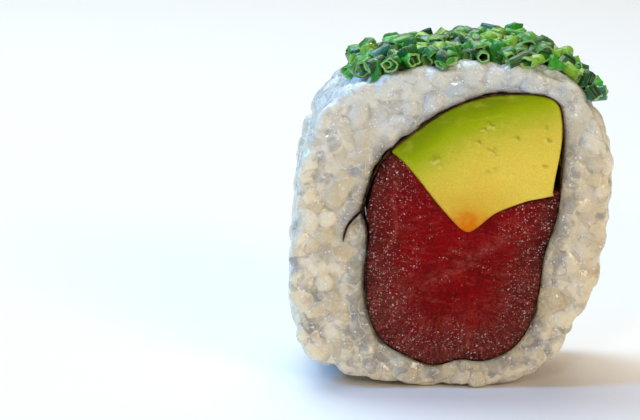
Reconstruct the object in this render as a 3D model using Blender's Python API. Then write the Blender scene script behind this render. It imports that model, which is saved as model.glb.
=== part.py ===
"""One slice of tuna uramaki, an inside-out sushi roll, lying on its rim with a cut face forward.

X runs across the slice, Y from the front cut face to the back one, and Z up. The origin is under the
middle of the slice, on the surface that it rests on. Outlines are written as (x, z) in millimetres.
"""

import math
import random

import bmesh
import bpy
from mathutils import Matrix, Vector, noise
from mathutils.geometry import delaunay_2d_cdt, intersect_line_line_2d

MM = 0.001

# Driving dimensions of the slice
SLICE_DEPTH = 24.0 * MM
SECTION_MIDDLE = Vector((0.5, 22.0)) * MM
TWIST_DEG = 3.0  # how far the section turns from the front face to the back one
GAP = 0.3 * MM  # clear space between two neighbouring solids
SEED = 12

# Outer outline of the rice, anticlockwise from the resting spot
RICE_OUTLINE = [
    (2.0, -0.4), (10.8, 1.4), (16.6, 6.6), (20.1, 14.5), (21.7, 24.0), (21.6, 32.5), (18.0, 40.4),
    (10.5, 44.3), (0.0, 44.3), (-9.8, 42.7), (-16.6, 38.8), (-20.0, 31.5), (-21.3, 22.0), (-21.7, 14.0),
    (-20.9, 7.2), (-18.0, 3.0), (-9.6, 0.6),
]

# Middle of the nori sheet round the filling, from its overlap downwards and round to it again
NORI_WRAP = [
    (-11.7, 24.6), (-11.0, 21.2), (-11.1, 16.0), (-10.6, 10.6), (-8.8, 6.6), (-5.2, 4.5), (-1.6, 3.2),
    (2.0, 4.2), (5.0, 4.0), (8.4, 5.4), (10.8, 8.2), (12.2, 13.2), (12.8, 19.0), (14.3, 24.4),
    (14.7, 31.0), (14.5, 37.0), (12.9, 40.0), (6.0, 40.3), (0.0, 38.5), (-5.3, 34.8), (-9.4, 30.9),
]
NORI_FLAP = [(-12.4, 23.5), (-13.3, 22.3), (-13.9, 21.1), (-14.4, 19.9)]  # its outer end, in the rice
NORI_THICKNESS = 0.35 * MM

# Line where the avocado lies on the tuna, from the left of the filling to its right
FILLING_SEAM = [
    (-11.0, 33.0), (-7.0, 31.4), (-1.6, 25.2), (1.2, 22.2), (2.5, 21.5), (3.8, 22.3), (6.2, 24.3),
    (10.2, 25.7), (12.2, 26.0), (14.0, 26.3), (16.5, 26.6),
]

# Where a filling falls short of the nori: place, reach and depth of the gap
TUNA_SLACK = Vector((-11.6, 25.0)) * MM, 4.5 * MM, 0.6 * MM
AVOCADO_SLACK = Vector((14.6, 27.0)) * MM, 5.5 * MM, 1.0 * MM

# Cooked rice grains: length, width and thickness, and how far the length and width vary
GRAIN_SIZE = (6.2 * MM, 3.4 * MM, 3.0 * MM)
GRAIN_UNEVEN = 0.12
GRAIN_SIDES = 5
GRAIN_RINGS = ((-0.36, 0.74), (0.0, 1.0), (0.36, 0.74))  # place along the grain, share of its width
RIM_GRAIN_SPACING = 4.0 * MM
FACE_GRAIN_SPACING = 3.5 * MM
CORE_INSET = 1.3 * MM  # how far the bare core lies inside the grains' outer faces
FACE_INSET = 1.1 * MM  # the same on the cut faces, where the knife has pressed them flatter
BED_INSET = 0.2 * MM  # the same under the chives
FOOT_INSET = -0.15 * MM  # the same where the slice rests, pressed flat
FOOT_HEIGHT = 0.5 * MM  # the outline is part of the foot up to this height

# Chopped chives: radius and length from the smallest to the largest
CHIVE_RADIUS = (0.85 * MM, 1.25 * MM)
CHIVE_LENGTH = (1.5 * MM, 3.8 * MM)
CHIVE_WALL = 0.4 * MM
CHIVE_SIDES = 6
CHIVE_SPACING = 2.65 * MM
CHIVE_SINK = 0.5 * MM  # how deep they sit in the rice
CHIVE_TOP = 2.1 * MM  # how high one may stand over the rice
CHIVE_LEFT, CHIVE_RIGHT = Vector((-13.4, 41.2)) * MM, Vector((19.6, 39.0)) * MM
PILED_CHIVES = 18  # those that lie on others
PILE_HEIGHT = 0.8 * MM

# Cut faces
RIM_ROUND = 0.45 * MM
FACE_RELIEF = 0.3 * MM
CAP_SPACING = 3.2 * MM
KEPT_TRIANGLES = 0.79  # share of the rice's triangles that stays once the slivers are gone


def clear_scene():
    for obj in list(bpy.data.objects):
        bpy.data.objects.remove(obj)


def vectors(points):
    return [Vector(point) * MM for point in points]


# Lines and outlines in the plane of the section


def resample(points, spacing, closed=True):
    """The same line with its points at equal distances, close to the given spacing."""
    line = points + points[:1] if closed else points
    lengths = [0.0]
    for a, b in zip(line, line[1:]):
        lengths.append(lengths[-1] + (b - a).length)
    count = max(3, round(lengths[-1] / spacing))
    result, span = [], 0
    for i in range(count if closed else count + 1):
        wanted = lengths[-1] * i / count
        while span < len(line) - 2 and lengths[span + 1] < wanted:
            span += 1
        share = (wanted - lengths[span]) / max(lengths[span + 1] - lengths[span], 1e-12)
        result.append(line[span].lerp(line[span + 1], min(share, 1.0)))
    return result


def curve(points, spacing, closed=True, steps=24):
    """Points evenly spread on a smooth Catmull-Rom curve through the given ones."""
    count = len(points)
    fine = []
    for i in range(count if closed else count - 1):
        if closed:
            a, b, c, d = (points[(i + k) % count] for k in (-1, 0, 1, 2))
        else:
            a, b, c, d = (points[min(max(i + k, 0), count - 1)] for k in (-1, 0, 1, 2))
        for step in range(steps):
            t = step / steps
            fine.append(0.5 * (2 * b + (c - a) * t + (2 * a - 5 * b + 4 * c - d) * t * t
                               + (3 * b - a - 3 * c + d) * t ** 3))
    if not closed:
        fine.append(points[-1].copy())
    return resample(fine, spacing, closed)


def tangents(line, closed=True):
    count = len(line)
    found = []
    for i in range(count):
        before = line[i - 1] if closed or i > 0 else line[0]
        after = line[(i + 1) % count] if closed or i < count - 1 else line[-1]
        found.append((after - before).normalized())
    return found


def offset(line, distance, closed=True):
    """The line moved sideways, which is outwards on a closed anticlockwise one."""
    return [point + Vector((t.y, -t.x)) * distance for point, t in zip(line, tangents(line, closed))]


def rounded(loop, passes):
    """The outline with its sharp corners worn round."""
    for _ in range(passes):
        loop = [a * 0.25 + b * 0.5 + c * 0.25 for a, b, c in zip(loop[-1:] + loop, loop, loop[1:] + loop[:1])]
    return loop


def slackened(loop, place, reach, depth):
    """The outline drawn in round one place, on the side that faces it."""
    middle = sum(loop, Vector((0, 0))) / len(loop)
    towards = (place - middle).normalized()
    drawn_in = []
    for point, t in zip(loop, tangents(loop)):
        out = Vector((t.y, -t.x))
        share = max(0.0, out @ towards) * math.exp(-((point - place).length / reach) ** 2)
        drawn_in.append(point - out * depth * share)
    return drawn_in


def inside(point, loop):
    hit = False
    for a, b in zip(loop, loop[1:] + loop[:1]):
        if (a.y > point.y) != (b.y > point.y):
            if point.x < (b.x - a.x) * (point.y - a.y) / (b.y - a.y) + a.x:
                hit = not hit
    return hit


def nearest(point, line):
    """(distance, index) of the line's point that is closest."""
    return min(((point - other).length, i) for i, other in enumerate(line))


def split(loop, seam):
    """The two outlines that a seam cuts a closed one into. The first holds the loop's start."""
    hits = []
    for i, (a, b) in enumerate(zip(loop, loop[1:] + loop[:1])):
        for j, (c, d) in enumerate(zip(seam, seam[1:])):
            point = intersect_line_line_2d(a, b, c, d)
            if point:
                hits.append((i, j, point))
    (i1, j1, p1), (i2, j2, p2) = hits[0], hits[-1]
    between = seam[j1 + 1:j2 + 1] if j1 < j2 else seam[j2 + 1:j1 + 1][::-1]
    across = [p1] + between + [p2]
    return loop[:i1 + 1] + across + loop[i2 + 1:], loop[i1 + 1:i2 + 1] + across[::-1]


# Solids made from outlines


def twisted(x, y, z):
    """A point of the straight section, turned about the roll's axis as it goes back."""
    turn = Matrix.Rotation(math.radians(TWIST_DEG) * y / SLICE_DEPTH, 2)
    across, up = turn @ (Vector((x, z)) - SECTION_MIDDLE) + SECTION_MIDDLE
    return Vector((across, y, up))


def finished(name, mesh):
    """The edited mesh as an object, with its faces pointing out."""
    bmesh.ops.recalc_face_normals(mesh, faces=mesh.faces)
    data = bpy.data.meshes.new(name)
    mesh.to_mesh(data)
    mesh.free()
    obj = bpy.data.objects.new(name, data)
    bpy.context.scene.collection.objects.link(obj)
    return obj


def bridge(mesh, near, far):
    """Faces between two closed rings of as many points."""
    for i in range(len(near)):
        j = (i + 1) % len(near)
        mesh.faces.new((near[i], far[i], far[j], near[j]))


def cap_points(loop, spacing):
    """Points of a staggered grid inside a loop, clear of its edge."""
    low, high = Vector(map(min, *loop)), Vector(map(max, *loop))
    found = []
    for row in range(int((high.y - low.y) / (spacing * 0.87)) + 1):
        for column in range(int((high.x - low.x) / spacing) + 1):
            point = low + Vector((column + 0.5 * (row % 2), row * 0.87)) * spacing
            if inside(point, loop) and nearest(point, loop)[0] > spacing * 0.6:
                found.append(point)
    return found


def wavy(x, z, side, size=5.0 * MM, depth=FACE_RELIEF):
    """How far a knife-cut face stands out at a point of it."""
    return depth * noise.noise(Vector((x / size, side * 7.3, z / size)))


def flat(x, z, side):
    return 0.0


def slab(name, loop, half_depth, relief=flat, rim=0.0, spacing=CAP_SPACING):
    """A closed solid of one section between two cut faces.

    relief(x, z, side) is how far a face stands out, on side -1 at the front and 1 at the back. The edge
    of each face is rounded over the rim's width.
    """
    count = len(loop)
    edge = offset(loop, -rim) if rim else loop
    points, _, triangles = delaunay_2d_cdt(
        edge + cap_points(edge, spacing), [], [list(range(count))], 1, 1e-9)[:3]
    mesh = bmesh.new()
    rings = []
    for side in (-1, 1):
        face = [mesh.verts.new(twisted(p.x, side * (half_depth + relief(p.x, p.y, side)), p.y))
                for p in points]
        for triangle in triangles:
            mesh.faces.new([face[i] for i in triangle])
        rings.append(face[:count])
        if rim:
            rings.append([mesh.verts.new(twisted(p.x, side * (half_depth - rim), p.y)) for p in loop])
    if rim:
        rings = [rings[0], rings[1], rings[3], rings[2]]
    for near, far in zip(rings, rings[1:]):
        bridge(mesh, near, far)
    return finished(name, mesh)


def ribbon(name, path, half_width, half_depth):
    """A sheet of even thickness that stands on a line of the section and runs through the slice."""
    sides = offset(path, half_width, False), offset(path, -half_width, False)
    mesh = bmesh.new()
    rings = [[mesh.verts.new(twisted(p.x, y, p.y)) for p, y in
              ((left, -half_depth), (right, -half_depth), (right, half_depth), (left, half_depth))]
             for left, right in zip(*sides)]
    for near, far in zip(rings, rings[1:]):
        bridge(mesh, near, far)
    mesh.faces.new(rings[0])
    mesh.faces.new(rings[-1])
    return finished(name, mesh)


# Scattered pieces


def spread(rng, spacing, draw, tries=5000):
    """Places drawn one after the other, each kept if it's clear of those before it."""
    kept = []
    for _ in range(tries):
        place = draw(rng)
        if place and all((place[0] - other[0]).length > spacing for other in kept):
            kept.append(place)
    return kept


def laid(long_axis, thin_axis, place):
    """The matrix that lays a piece's length along one direction and its thin side along another."""
    long_axis = long_axis.normalized()
    side_axis = thin_axis.cross(long_axis).normalized()
    thin_axis = long_axis.cross(side_axis)
    turned = Matrix((long_axis, side_axis, thin_axis)).transposed().to_4x4()
    section = twisted(place.x, place.y, place.z)
    turn = Matrix.Rotation(-math.radians(TWIST_DEG) * place.y / SLICE_DEPTH, 4, "Y")
    return Matrix.Translation(section) @ turn @ turned


def grain(rng, name):
    """One cooked grain along X, blunt at both ends, a little bent, and uneven in size."""
    length, width, thickness = (size * rng.uniform(1 - GRAIN_UNEVEN, 1 + GRAIN_UNEVEN)
                                for size in GRAIN_SIZE)
    bend = rng.uniform(-0.05, 0.10) * length
    turn = rng.uniform(0, math.tau)
    mesh = bmesh.new()
    rings = []
    for along, share in GRAIN_RINGS:
        angles = [turn + math.tau * i / GRAIN_SIDES for i in range(GRAIN_SIDES)]
        rings.append([mesh.verts.new((along * length,
                                      share * width / 2 * math.cos(a) + bend * (2 * along) ** 2,
                                      share * thickness / 2 * math.sin(a))) for a in angles])
    for near, far in zip(rings, rings[1:]):
        bridge(mesh, near, far)
    for end, ring in ((-0.5, rings[0]), (0.5, rings[-1])):
        tip = mesh.verts.new((end * length, bend, 0.0))
        for i in range(GRAIN_SIDES):
            mesh.faces.new((ring[i], ring[(i + 1) % GRAIN_SIDES], tip))
    return finished(name, mesh)


def rim_grains(outline, rng):
    """Grains that lie on the outside of the roll, except under the chives, as placed objects."""
    def draw(rng):
        i = rng.randrange(len(outline))
        y = rng.uniform(-0.5, 0.5) * (SLICE_DEPTH - GRAIN_SIZE[1])
        turn = rng.uniform(0, math.pi)
        if i in under_chives or outline[i].y < FOOT_HEIGHT:
            return None
        return Vector((outline[i].x, y, outline[i].y)), i, turn

    under_chives = chive_zone(outline)
    directions = tangents(outline)
    made = []
    for place, i, turn in spread(rng, RIM_GRAIN_SPACING, draw):
        along, out = across_and_out(directions[i])
        reach = SLICE_DEPTH / 2 - abs(place.y)
        lean = min(abs(math.sin(turn)), reach / (GRAIN_SIZE[0] / 2)) * (1 if turn < math.pi / 2 else -1)
        long_axis = along * math.sqrt(1 - lean * lean) + Vector((0, lean, 0))
        depth = GRAIN_SIZE[2] / 2 + rng.uniform(0.0, 0.6) * MM
        obj = grain(rng, f"rim_grain_{len(made)}")
        obj.matrix_world = laid(long_axis, out, place - out * depth)
        made.append(obj)
    return made


def face_grains(outline, hole, rng, side):
    """Grains in one cut face, between the outside of the roll and the nori."""
    outer, inner = offset(outline, -1.8 * MM), offset(hole, 1.3 * MM)
    low, high = Vector(map(min, *outer)), Vector(map(max, *outer))

    def draw(rng):
        point = Vector((rng.uniform(low.x, high.x), rng.uniform(low.y, high.y)))
        turn = rng.uniform(-1, 1)
        if not inside(point, outer) or inside(point, inner):
            return None
        return point, turn

    made = []
    for point, turn in spread(rng, FACE_GRAIN_SPACING, draw):
        distance, i, line = min((*nearest(point, line), line) for line in (hole, outline))
        along = across_and_out(tangents(line)[i])[0]
        freedom = min(1.0, max(0.0, distance / MM - 2.0) / 1.5) * 78 + 12
        long_axis = Matrix.Rotation(math.radians(turn * freedom), 3, "Y") @ along
        long_axis.y = rng.uniform(-0.25, 0.25)
        half = Vector(GRAIN_SIZE) / 2
        tilt = abs(long_axis.normalized().y)
        reach = math.hypot(half.x * tilt, half.z * math.sqrt(1 - tilt * tilt))
        y = side * (SLICE_DEPTH / 2 - reach - rng.uniform(0.0, 0.4) * MM)
        obj = grain(rng, f"face_grain_{side}_{len(made)}")
        obj.matrix_world = laid(long_axis, Vector((0, side, 0)), Vector((point.x, y, point.y)))
        made.append(obj)
    return made


def across_and_out(direction):
    """The directions along the outline and out of it, in space."""
    return Vector((direction.x, 0, direction.y)), Vector((direction.y, 0, -direction.x))


def chive_zone(outline):
    """The indices of the outline's points that the chives cover, over the top from right to left."""
    start, end = nearest(CHIVE_RIGHT, outline)[1], nearest(CHIVE_LEFT, outline)[1]
    return range(start, end)


def chive(rng, name, radius, length):
    """A short cut tube along X, pressed a little flat, with a hole right through."""
    squash = rng.uniform(0.72, 1.0)
    slant = rng.uniform(-0.25, 0.25)
    turn = rng.uniform(0, math.tau)
    mesh = bmesh.new()
    rings = []
    for end, size in ((-0.5, radius), (0.5, radius), (0.5, radius - CHIVE_WALL), (-0.5, radius - CHIVE_WALL)):
        ring = []
        for i in range(CHIVE_SIDES):
            angle = turn + math.tau * i / CHIVE_SIDES
            y, z = size * math.cos(angle), size * squash * math.sin(angle)
            ring.append(mesh.verts.new((end * length + slant * y * (1 if end > 0 else -1), y, z)))
        rings.append(ring)
    for near, far in zip(rings, rings[1:] + rings[:1]):
        bridge(mesh, near, far)
    return finished(name, mesh)


def chives(outline, rng):
    """Chopped chives over the top of the roll: a layer in the rice, and a few more on that layer."""
    zone = chive_zone(outline)
    directions = tangents(outline)

    def draw(rng):
        i = rng.choice(zone)
        y = rng.uniform(-0.5, 0.5) * (SLICE_DEPTH - 2.4 * MM)
        return Vector((outline[i].x, y, outline[i].y)), i

    base = spread(rng, CHIVE_SPACING, draw)
    piled = [(base[k][0] + Vector((0, rng.uniform(-1, 1) * MM, 0)), base[k][1])
             for k in rng.sample(range(len(base)), PILED_CHIVES)]
    made = []
    for place, i in base + piled:
        along, out = across_and_out(directions[i])
        radius, length = rng.uniform(*CHIVE_RADIUS), rng.uniform(*CHIVE_LENGTH)
        turn, rise = rng.uniform(0, math.pi), rng.choice((0.0, 0.1, 0.25, 0.45, 1.1))
        long_axis = along * math.cos(turn) + Vector((0, math.sin(turn), 0))
        long_axis = (long_axis * math.cos(rise) + out * math.sin(rise)).normalized()
        side = out.cross(long_axis).cross(long_axis)
        reach = radius * math.cos(rise) + length / 2 * math.sin(rise)
        height = min(reach - CHIVE_SINK, CHIVE_TOP - reach)
        height += PILE_HEIGHT if len(made) >= len(base) else 0.0
        obj = chive(rng, f"chive_{len(made)}", radius, length)
        obj.matrix_world = laid(long_axis, side, place + out * height)
        made.append(obj)
    return made


# Joining and cutting


def apply_modifiers(obj):
    graph = bpy.context.evaluated_depsgraph_get()
    result = bpy.data.meshes.new_from_object(obj.evaluated_get(graph))
    obj.modifiers.clear()
    obj.data = result


def boolean(obj, operation, other):
    """Applies one Boolean with an object or a whole collection, which is then removed."""
    modifier = obj.modifiers.new("Boolean", "BOOLEAN")
    modifier.operation = operation
    modifier.solver = "EXACT"
    if isinstance(other, bpy.types.Collection):
        modifier.operand_type = "COLLECTION"
        modifier.collection = other
    else:
        modifier.object = other
    apply_modifiers(obj)
    if isinstance(other, bpy.types.Collection):
        for piece in list(other.objects):
            bpy.data.objects.remove(piece)
        bpy.data.collections.remove(other)
    else:
        bpy.data.objects.remove(other)


def gather(name, pieces):
    """Moves the pieces into a collection of their own."""
    collection = bpy.data.collections.new(name)
    bpy.context.scene.collection.children.link(collection)
    for piece in pieces:
        bpy.context.scene.collection.objects.unlink(piece)
        collection.objects.link(piece)
    return collection


def thin_out(obj):
    """Collapses the slivers that fusing leaves between the grains."""
    modifier = obj.modifiers.new("Decimate", "DECIMATE")
    modifier.ratio = KEPT_TRIANGLES
    apply_modifiers(obj)


def keep_largest(obj):
    """Leaves only the outer skin of the largest body: no scraps, and no hollow that fusing has shut."""
    mesh = bmesh.new()
    mesh.from_mesh(obj.data)
    left, groups = set(mesh.faces), []
    while left:
        group, reached = set(), [left.pop()]
        while reached:
            face = reached.pop()
            group.add(face)
            beside = {other for edge in face.edges if edge.is_manifold for other in edge.link_faces}
            beside &= left
            left -= beside
            reached += beside
        groups.append(group)
    largest = max(groups, key=len)
    bmesh.ops.delete(mesh, geom=[face for face in mesh.faces if face not in largest], context="FACES")
    loose = [vertex for vertex in mesh.verts if not vertex.link_faces]
    bmesh.ops.delete(mesh, geom=loose, context="VERTS")
    loose = [edge for edge in mesh.edges if not edge.link_faces]
    bmesh.ops.delete(mesh, geom=loose, context="EDGES")
    mesh.to_mesh(obj.data)
    mesh.free()


def block(name, low, high):
    mesh = bmesh.new()
    bmesh.ops.create_cube(mesh, size=1.0)
    low, high = Vector(low), Vector(high)
    for vertex in mesh.verts:
        vertex.co = Vector(a + (b - a) * (t + 0.5) for a, b, t in zip(low, high, vertex.co))
    return finished(name, mesh)


# The nodes


def core_outline(outline):
    """The outline of the plain core, deep under the grains and nearly flush under the chives."""
    covered = chive_zone(outline)
    loop = []
    for i, (point, direction) in enumerate(zip(outline, tangents(outline))):
        inset = BED_INSET if i in covered else FOOT_INSET if point.y < FOOT_HEIGHT else CORE_INSET
        loop.append(point - Vector((direction.y, -direction.x)) * inset)
    return resample(loop, 3.6 * MM)


def make_rice(wrap, flap):
    """The rice: a plain core with the grains that show and the chives fused on, open for the nori."""
    clearance = NORI_THICKNESS / 2 + GAP
    outline = curve(vectors(RICE_OUTLINE), 1.0 * MM)
    hole = offset(wrap, clearance)
    rice = slab("rice", core_outline(outline), SLICE_DEPTH / 2 - FACE_INSET, wavy, spacing=6 * MM)
    rng = random.Random(SEED)
    pieces = rim_grains(outline, rng)
    for side in (-1, 1):
        pieces += face_grains(outline, hole, rng, side)
    pieces += chives(outline, rng)
    boolean(rice, "UNION", gather("pieces", pieces))
    reach = SLICE_DEPTH / 2 + 3 * MM
    boolean(rice, "DIFFERENCE", slab("hole_cutter", hole, reach))
    boolean(rice, "DIFFERENCE", ribbon("flap_cutter", flap, clearance, reach))
    boolean(rice, "DIFFERENCE", block("floor_cutter", (-0.1, -0.1, -0.1), (0.1, 0.1, 0.0)))
    thin_out(rice)
    keep_largest(rice)
    return rice


def make_nori(wrap, flap):
    """One sheet of nori, rolled once round the filling, with its outer end lying in the rice."""
    return ribbon("nori", wrap[1:] + flap[1:-1], NORI_THICKNESS / 2, SLICE_DEPTH / 2 - 0.15 * MM)


def make_fillings(wrap):
    """The tuna and the avocado, which share the inside of the nori along one seam."""
    inner = offset(wrap, -(NORI_THICKNESS / 2 + GAP))
    seam = curve(vectors(FILLING_SEAM), 0.6 * MM, closed=False)
    loops = (split(inner, offset(seam, GAP / 2, closed=False))[0],
             split(inner, offset(seam, -GAP / 2, closed=False))[1])
    tuna_loop, avocado_loop = (slackened(rounded(resample(loop, 1.3 * MM), 2), *slack)
                               for loop, slack in zip(loops, (TUNA_SLACK, AVOCADO_SLACK)))
    half = SLICE_DEPTH / 2
    return (slab("tuna", tuna_loop, half - 0.1 * MM, wavy, RIM_ROUND),
            slab("avocado", avocado_loop, half - 0.2 * MM, wavy, RIM_ROUND))


def paint(obj, name, colour, roughness):
    made = bpy.data.materials.new(name)
    made.use_nodes = True
    shader = made.node_tree.nodes["Principled BSDF"]
    shader.inputs["Base Color"].default_value = (*colour, 1.0)
    shader.inputs["Roughness"].default_value = roughness
    shader.inputs["Metallic"].default_value = 0.0
    obj.data.materials.clear()
    obj.data.materials.append(made)


def centre(objects):
    """Moves the slice so that the origin is under the middle of its bounding box."""
    bpy.context.view_layer.update()
    corners = [obj.matrix_world @ Vector(corner) for obj in objects for corner in obj.bound_box]
    low, high = Vector(map(min, *corners)), Vector(map(max, *corners))
    for obj in objects:
        obj.location -= Vector(((low.x + high.x) / 2, (low.y + high.y) / 2, low.z))


def main():
    clear_scene()
    wrap = curve(vectors(NORI_WRAP), 1.2 * MM)
    flap = curve([wrap[-1]] + vectors(NORI_WRAP[:1] + NORI_FLAP), 1.2 * MM, closed=False)
    rice = make_rice(wrap, flap)
    nori = make_nori(wrap, flap)
    tuna, avocado = make_fillings(wrap)
    paint(rice, "cooked rice", (0.78, 0.75, 0.68), 0.35)
    paint(nori, "nori", (0.03, 0.035, 0.02), 0.4)
    paint(tuna, "raw tuna", (0.30, 0.02, 0.03), 0.3)
    paint(avocado, "avocado", (0.72, 0.66, 0.14), 0.4)
    centre([rice, nori, tuna, avocado])


main()
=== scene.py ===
import math
import bpy
import numpy as np
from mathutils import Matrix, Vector, kdtree, noise
from mathutils.geometry import delaunay_2d_cdt, intersect_line_line_2d


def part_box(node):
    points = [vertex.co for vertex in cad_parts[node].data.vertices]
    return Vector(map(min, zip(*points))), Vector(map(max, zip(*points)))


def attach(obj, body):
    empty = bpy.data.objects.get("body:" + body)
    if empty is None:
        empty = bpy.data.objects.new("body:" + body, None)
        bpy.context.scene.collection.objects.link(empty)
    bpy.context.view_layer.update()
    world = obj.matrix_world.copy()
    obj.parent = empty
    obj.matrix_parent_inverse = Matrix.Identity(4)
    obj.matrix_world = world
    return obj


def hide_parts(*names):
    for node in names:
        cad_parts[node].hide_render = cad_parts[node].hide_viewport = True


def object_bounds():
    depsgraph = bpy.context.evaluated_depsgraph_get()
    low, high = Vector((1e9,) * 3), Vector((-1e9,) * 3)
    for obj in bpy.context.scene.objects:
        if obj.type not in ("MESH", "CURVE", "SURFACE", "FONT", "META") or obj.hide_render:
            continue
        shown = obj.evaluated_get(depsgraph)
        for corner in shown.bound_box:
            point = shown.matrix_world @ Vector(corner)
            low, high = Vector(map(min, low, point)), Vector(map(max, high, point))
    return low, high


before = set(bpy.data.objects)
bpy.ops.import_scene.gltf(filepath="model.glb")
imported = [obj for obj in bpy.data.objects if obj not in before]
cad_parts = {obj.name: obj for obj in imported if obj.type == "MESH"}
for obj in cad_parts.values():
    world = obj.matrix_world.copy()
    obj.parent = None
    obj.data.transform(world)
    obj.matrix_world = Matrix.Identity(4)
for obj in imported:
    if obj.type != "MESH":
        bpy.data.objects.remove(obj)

scene = bpy.context.scene
cadBox = [list(corner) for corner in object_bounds()]
mm = 0.001

# The slice's section, in millimetres. Lines are (x, z), seen from the front cut face.
section = {
    "depth": 24.0,
    "middle": (0.5, 22.0),
    "twist": 3.0,  # degrees that the section turns from the front face to the back one
    "noriThickness": 0.35,
    "noriInset": 0.15,  # from each cut face to the solid nori
    "rice": [(2.0, -0.4), (10.8, 1.4), (16.6, 6.6), (20.1, 14.5), (21.7, 24.0), (21.6, 32.5), (18.0, 40.4),
             (10.5, 44.3), (0.0, 44.3), (-9.8, 42.7), (-16.6, 38.8), (-20.0, 31.5), (-21.3, 22.0),
             (-21.7, 14.0), (-20.9, 7.2), (-18.0, 3.0), (-9.6, 0.6)],
    "nori": [(-11.7, 24.6), (-11.0, 21.2), (-11.1, 16.0), (-10.6, 10.6), (-8.8, 6.6), (-5.2, 4.5),
             (-1.6, 3.2), (2.0, 4.2), (5.0, 4.0), (8.4, 5.4), (10.8, 8.2), (12.2, 13.2), (12.8, 19.0),
             (14.3, 24.4), (14.7, 31.0), (14.5, 37.0), (12.9, 40.0), (6.0, 40.3), (0.0, 38.5), (-5.3, 34.8),
             (-9.4, 30.9)],
    "noriEnd": [(-12.3, 23.6), (-13.3, 22.7), (-13.9, 21.5), (-14.2, 19.9)],
    "seam": [(-11.0, 33.0), (-7.0, 31.4), (-1.6, 25.2), (1.2, 22.2), (2.5, 21.5), (3.8, 22.3), (6.2, 24.3),
             (10.2, 25.7), (12.2, 26.0), (14.0, 26.3), (16.5, 26.6)],
}
halfDepth = section["depth"] / 2


# Lines in the section


def spaced(line, gap, closed=True):
    # the same line as evenly spaced points
    line = np.vstack([line, line[:1]]) if closed else line
    along = np.concatenate([[0], np.cumsum(np.linalg.norm(np.diff(line, axis=0), axis=1))])
    count = max(3, round(along[-1] / gap))
    wanted = np.arange(count if closed else count + 1) * along[-1] / count
    return np.column_stack([np.interp(wanted, along, line[:, k]) for k in (0, 1)])


def smoothLine(points, gap, closed=True):
    # a Catmull-Rom curve through the points
    b = np.array(points, float)
    if closed:
        a, c, d = np.roll(b, 1, 0), np.roll(b, -1, 0), np.roll(b, -2, 0)
    else:
        a, c, d = (np.vstack(rows) for rows in ((b[:1], b[:-1]), (b[1:], b[-1:]), (b[2:], b[-1:], b[-1:])))
    t = (np.arange(24) / 24)[None, :, None]  # 24 steps from each point to the next
    a, b, c, d = (p[:, None, :] for p in (a, b, c, d))
    square, cube = 2 * a - 5 * b + 4 * c - d, 3 * b - a - 3 * c + d
    fine = 0.5 * (2 * b + (c - a) * t + square * t ** 2 + cube * t ** 3)
    if not closed:
        fine = fine[:-1]
    fine = fine.reshape(-1, 2)
    return spaced(fine if closed else np.vstack([fine, points[-1]]), gap, closed)


def headings(line, closed=True):
    before, after = np.roll(line, 1, 0), np.roll(line, -1, 0)
    if not closed:
        before[0], after[-1] = line[0], line[-1]
    step = after - before
    return step / np.linalg.norm(step, axis=1)[:, None]


def moved(line, distance, closed=True):
    # the line moved sideways, outwards where it is closed
    heading = headings(line, closed)
    return line + np.column_stack([heading[:, 1], -heading[:, 0]]) * np.reshape(distance, (-1, 1))


def nearestOn(points, line, closed=True):
    # each point's distance to the line, and its nearest spot there
    starts, ends = (line, np.roll(line, -1, 0)) if closed else (line[:-1], line[1:])
    best, spots = np.full(len(points), 1e9), np.zeros((len(points), 2))
    for start, end in zip(starts, ends):
        along = end - start
        share = np.clip((points - start) @ along / max(along @ along, 1e-12), 0, 1)
        spot = start + share[:, None] * along
        distance = np.linalg.norm(points - spot, axis=1)
        closer = distance < best
        best[closer], spots[closer] = distance[closer], spot[closer]
    return best, spots


def within(points, loop):
    hit = np.zeros(len(points), bool)
    for (ax, ay), (bx, by) in zip(loop, np.roll(loop, -1, 0)):
        if ay != by:
            crossing = (ay > points[:, 1]) != (by > points[:, 1])
            hit ^= crossing & (points[:, 0] < (bx - ax) * (points[:, 1] - ay) / (by - ay) + ax)
    return hit


def parted(loop, seam):
    # the two outlines that the seam cuts the loop into
    hits = []
    for i in range(len(loop)):
        for j in range(len(seam) - 1):
            spot = intersect_line_line_2d(Vector(loop[i]), Vector(loop[(i + 1) % len(loop)]),
                                          Vector(seam[j]), Vector(seam[j + 1]))
            if spot:
                hits.append((i, j, np.array(spot)))
    (i1, j1, p1), (i2, j2, p2) = hits[0], hits[-1]
    between = seam[j1 + 1:j2 + 1] if j1 < j2 else seam[j2 + 1:j1 + 1][::-1]
    across = np.vstack([p1, between, p2])
    return np.vstack([loop[:i1 + 1], across, loop[i2 + 1:]]), np.vstack([loop[i1 + 1:i2 + 1], across[::-1]])


def wornRound(loop, passes):
    for _ in range(passes):
        loop = 0.25 * np.roll(loop, 1, 0) + 0.5 * loop + 0.25 * np.roll(loop, -1, 0)
    return loop


# From the straight section to the slice as it lies


def turned(points, way=1):
    # the straight section turned about the roll's axis as it goes back, or turned straight again
    angle = way * np.radians(section["twist"]) * points[:, 1] / section["depth"]
    x, z = points[:, 0] - section["middle"][0], points[:, 2] - section["middle"][1]
    return np.column_stack([x * np.cos(angle) - z * np.sin(angle) + section["middle"][0], points[:, 1],
                            x * np.sin(angle) + z * np.cos(angle) + section["middle"][1]])


def atDepth(spots, y):
    # spots of the section as (x, y, z)
    return np.column_stack([spots[:, 0], np.broadcast_to(y, len(spots)), spots[:, 1]])


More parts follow.
